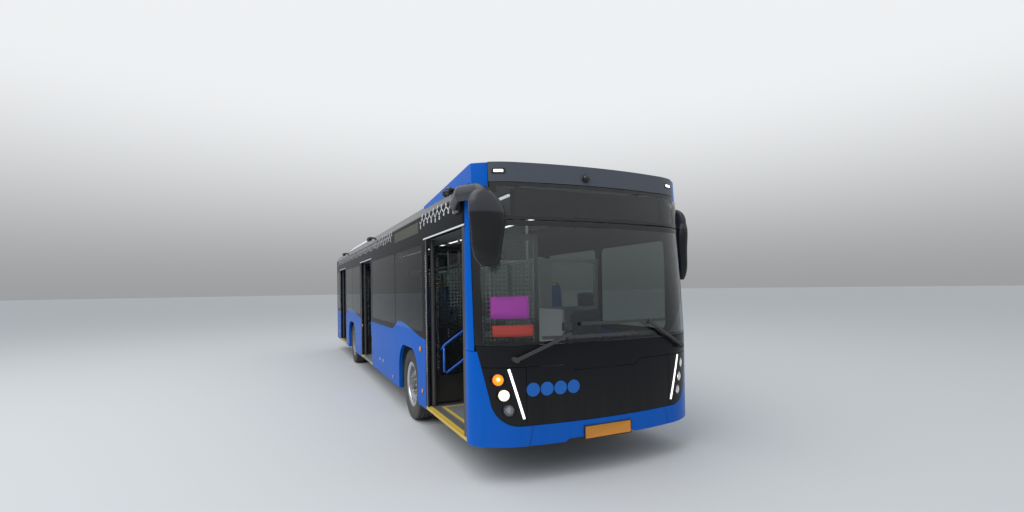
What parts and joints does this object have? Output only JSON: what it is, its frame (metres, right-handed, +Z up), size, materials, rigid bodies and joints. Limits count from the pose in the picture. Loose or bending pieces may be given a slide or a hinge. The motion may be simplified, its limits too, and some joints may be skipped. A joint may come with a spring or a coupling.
{
  "type": "city bus",
  "caption": "Low-floor city bus with three double doors on the kerb side, steered front axle, twin rear wheels, hinged hatches, a folding ramp and furnished saloon.",
  "frame": {"origin": "on the ground below the middle of the bus", "axes": "+Z up, -Y is the front of the bus, -X its kerb side with the doors"},
  "size_m": [2.842, 12.4853, 3.06],
  "materials": {
    "blue_paint": "gloss",
    "black_paint": "gloss",
    "roof_paint": "gloss",
    "white_shell": "satin",
    "windscreen_glass": "clear",
    "tinted_glass": "tinted",
    "lamp_lens": "clear",
    "tyre": "matt",
    "rim_metal": "satin",
    "chassis_paint": "satin",
    "machinery": "rough",
    "spring_rubber": "matt",
    "floor_vinyl": "textured",
    "ramp_metal": "checkered",
    "door_frame": "satin",
    "post_metal": "brushed",
    "dark_plastic": "grained",
    "seat_shell": "satin",
    "seat_fabric": "woven",
    "pole_paint": "gloss",
    "mirror_shell": "gloss"
  },
  "bodies": {
    "body": {"cowl_panel": "black_paint", "front_bumper": "blue_paint", "front_corner_panels": "blue_paint", "front_lamp_panels": "black_paint", "front_glass": "windscreen_glass", "route_displays": "dark_plastic", "front_mask": "black_paint", "roof_fairing": "blue_paint", "left_side_wall": "blue_paint", "right_side_wall": "blue_paint", "saloon_windows": "tinted_glass", "roof": "roof_paint", "rear_wall": "blue_paint", "rear_bumper": "black_paint", "roof_air_conditioner": "white_shell", "lamps": "lamp_lens", "floor": "floor_vinyl", "wheel_boxes": "floor_vinyl", "chassis_frame": "chassis_paint", "engine": "machinery", "axles": "machinery", "air_springs": "spring_rubber", "door_headers": "dark_plastic", "dashboard": "dark_plastic", "driver_seat_frame": "chassis_paint", "driver_seat_cushions": "seat_fabric", "cab_partition": "white_shell", "passenger_seats": "seat_shell", "handrails": "pole_paint", "mirrors": "mirror_shell", "wipers": "dark_plastic"},
    "front_flap": {"front_service_panel": "black_paint"},
    "rear_hatch": {"rear_service_hatch": "blue_paint"},
    "cab_door": {"cab_door": "white_shell"},
    "ramp": {"wheelchair_ramp": "ramp_metal"},
    "steering_wheel": {"steering_wheel": "dark_plastic"},
    "left_knuckle": {"left_knuckle": "machinery"},
    "right_knuckle": {"right_knuckle": "machinery"},
    "front_left_wheel": {"front_left_rim": "rim_metal", "front_left_tyre": "tyre"},
    "front_right_wheel": {"front_right_rim": "rim_metal", "front_right_tyre": "tyre"},
    "rear_left_wheels": {"rear_left_rims": "rim_metal", "rear_left_tyres": "tyre"},
    "rear_right_wheels": {"rear_right_rims": "rim_metal", "rear_right_tyres": "tyre"},
    "front_door_front_post": {"front_door_front_post": "post_metal"},
    "front_door_front_leaf": {"front_door_front_leaf": "door_frame"},
    "front_door_rear_post": {"front_door_rear_post": "post_metal"},
    "front_door_rear_leaf": {"front_door_rear_leaf": "door_frame"},
    "middle_door_front_post": {"middle_door_front_post": "post_metal"},
    "middle_door_front_leaf": {"middle_door_front_leaf": "door_frame"},
    "middle_door_rear_post": {"middle_door_rear_post": "post_metal"},
    "middle_door_rear_leaf": {"middle_door_rear_leaf": "door_frame"},
    "rear_door_front_post": {"rear_door_front_post": "post_metal"},
    "rear_door_front_leaf": {"rear_door_front_leaf": "door_frame"},
    "rear_door_rear_post": {"rear_door_rear_post": "post_metal"},
    "rear_door_rear_leaf": {"rear_door_rear_leaf": "door_frame"}
  },
  "joints": [
    {"name": "front_flap_hinge", "type": "hinge", "parent": "body", "child": "front_flap", "pos_m": [0, -6.1975, 0.9935], "axis": [-1, 0, 0], "range_deg": [0, 80]},
    {"name": "rear_hatch_hinge", "type": "hinge", "parent": "body", "child": "rear_hatch", "pos_m": [0, 6.197, 1.377], "axis": [1, 0, 0], "range_deg": [0, 85]},
    {"name": "cab_door_hinge", "type": "hinge", "parent": "body", "child": "cab_door", "pos_m": [0.1837, -4.464, 0.95], "axis": [0, 0, -1], "range_deg": [0, 90]},
    {"name": "ramp_hinge", "type": "hinge", "parent": "body", "child": "ramp", "pos_m": [-1.261, 0.288, 0.369], "axis": [0, 1, 0], "range_deg": [-205, 0]},
    {"name": "steering", "type": "hinge", "parent": "body", "child": "left_knuckle", "pos_m": [0.9, -3.4, 0.475], "axis": [0, 0, 1], "range_deg": [-40, 40]},
    {"name": "right_steering", "type": "hinge", "parent": "body", "child": "right_knuckle", "pos_m": [-0.9, -3.4, 0.475], "axis": [0, 0, 1], "range_deg": [-40, 40]},
    {"name": "steering_wheel_turn", "type": "hinge", "parent": "body", "child": "steering_wheel", "pos_m": [0.76, -5.4, 1.12], "axis": [0, 0.5736, 0.8192], "range_deg": [-600, 600]},
    {"name": "front_left_wheel_spin", "type": "hinge", "parent": "left_knuckle", "child": "front_left_wheel", "pos_m": [1.098, -3.4, 0.475], "axis": [1, 0, 0], "continuous": true},
    {"name": "front_right_wheel_spin", "type": "hinge", "parent": "right_knuckle", "child": "front_right_wheel", "pos_m": [-1.098, -3.4, 0.475], "axis": [1, 0, 0], "continuous": true},
    {"name": "rear_left_wheels_spin", "type": "hinge", "parent": "body", "child": "rear_left_wheels", "pos_m": [0.943, 2.58, 0.475], "axis": [1, 0, 0], "continuous": true},
    {"name": "rear_right_wheels_spin", "type": "hinge", "parent": "body", "child": "rear_right_wheels", "pos_m": [-0.943, 2.58, 0.475], "axis": [1, 0, 0], "continuous": true},
    {"name": "front_door_front_post_turn", "type": "hinge", "parent": "body", "child": "front_door_front_post", "pos_m": [-1.189, -5.738, 1.35], "axis": [0, 0, 1], "range_deg": [0, 90]},
    {"name": "front_door_front_leaf_turn", "type": "hinge", "parent": "front_door_front_post", "child": "front_door_front_leaf", "pos_m": [-0.831, -5.738, 1.35], "axis": [0, 0, -1], "range_deg": [0, 180]},
    {"name": "front_door_rear_post_turn", "type": "hinge", "parent": "body", "child": "front_door_rear_post", "pos_m": [-1.189, -4.386, 1.35], "axis": [0, 0, -1], "range_deg": [0, 90]},
    {"name": "front_door_rear_leaf_turn", "type": "hinge", "parent": "front_door_rear_post", "child": "front_door_rear_leaf", "pos_m": [-0.831, -4.386, 1.35], "axis": [0, 0, 1], "range_deg": [0, 180]},
    {"name": "middle_door_front_post_turn", "type": "hinge", "parent": "body", "child": "middle_door_front_post", "pos_m": [-1.189, -0.388, 1.35], "axis": [0, 0, 1], "range_deg": [0, 90]},
    {"name": "middle_door_front_leaf_turn", "type": "hinge", "parent": "middle_door_front_post", "child": "middle_door_front_leaf", "pos_m": [-0.831, -0.388, 1.35], "axis": [0, 0, -1], "range_deg": [0, 180]},
    {"name": "middle_door_rear_post_turn", "type": "hinge", "parent": "body", "child": "middle_door_rear_post", "pos_m": [-1.189, 0.964, 1.35], "axis": [0, 0, -1], "range_deg": [0, 90]},
    {"name": "middle_door_rear_leaf_turn", "type": "hinge", "parent": "middle_door_rear_post", "child": "middle_door_rear_leaf", "pos_m": [-0.831, 0.964, 1.35], "axis": [0, 0, 1], "range_deg": [0, 180]},
    {"name": "rear_door_front_post_turn", "type": "hinge", "parent": "body", "child": "rear_door_front_post", "pos_m": [-1.189, 3.822, 1.35], "axis": [0, 0, 1], "range_deg": [0, 90]},
    {"name": "rear_door_front_leaf_turn", "type": "hinge", "parent": "rear_door_front_post", "child": "rear_door_front_leaf", "pos_m": [-0.831, 3.822, 1.35], "axis": [0, 0, -1], "range_deg": [0, 180]},
    {"name": "rear_door_rear_post_turn", "type": "hinge", "parent": "body", "child": "rear_door_rear_post", "pos_m": [-1.189, 5.174, 1.35], "axis": [0, 0, -1], "range_deg": [0, 90]},
    {"name": "rear_door_rear_leaf_turn", "type": "hinge", "parent": "rear_door_rear_post", "child": "rear_door_rear_leaf", "pos_m": [-0.831, 5.174, 1.35], "axis": [0, 0, 1], "range_deg": [0, 180]}
  ],
  "couplings": [
    {"joint": "right_steering", "follows": "steering", "ratio": 1},
    {"joint": "steering_wheel_turn", "follows": "steering", "ratio": 15},
    {"joint": "front_door_front_leaf_turn", "follows": "front_door_front_post_turn", "ratio": 2},
    {"joint": "front_door_rear_post_turn", "follows": "front_door_front_post_turn", "ratio": 1},
    {"joint": "front_door_rear_leaf_turn", "follows": "front_door_front_post_turn", "ratio": 2},
    {"joint": "middle_door_front_leaf_turn", "follows": "middle_door_front_post_turn", "ratio": 2},
    {"joint": "middle_door_rear_post_turn", "follows": "middle_door_front_post_turn", "ratio": 1},
    {"joint": "middle_door_rear_leaf_turn", "follows": "middle_door_front_post_turn", "ratio": 2},
    {"joint": "rear_door_front_leaf_turn", "follows": "rear_door_front_post_turn", "ratio": 2},
    {"joint": "rear_door_rear_post_turn", "follows": "rear_door_front_post_turn", "ratio": 1},
    {"joint": "rear_door_rear_leaf_turn", "follows": "rear_door_front_post_turn", "ratio": 2}
  ]
}
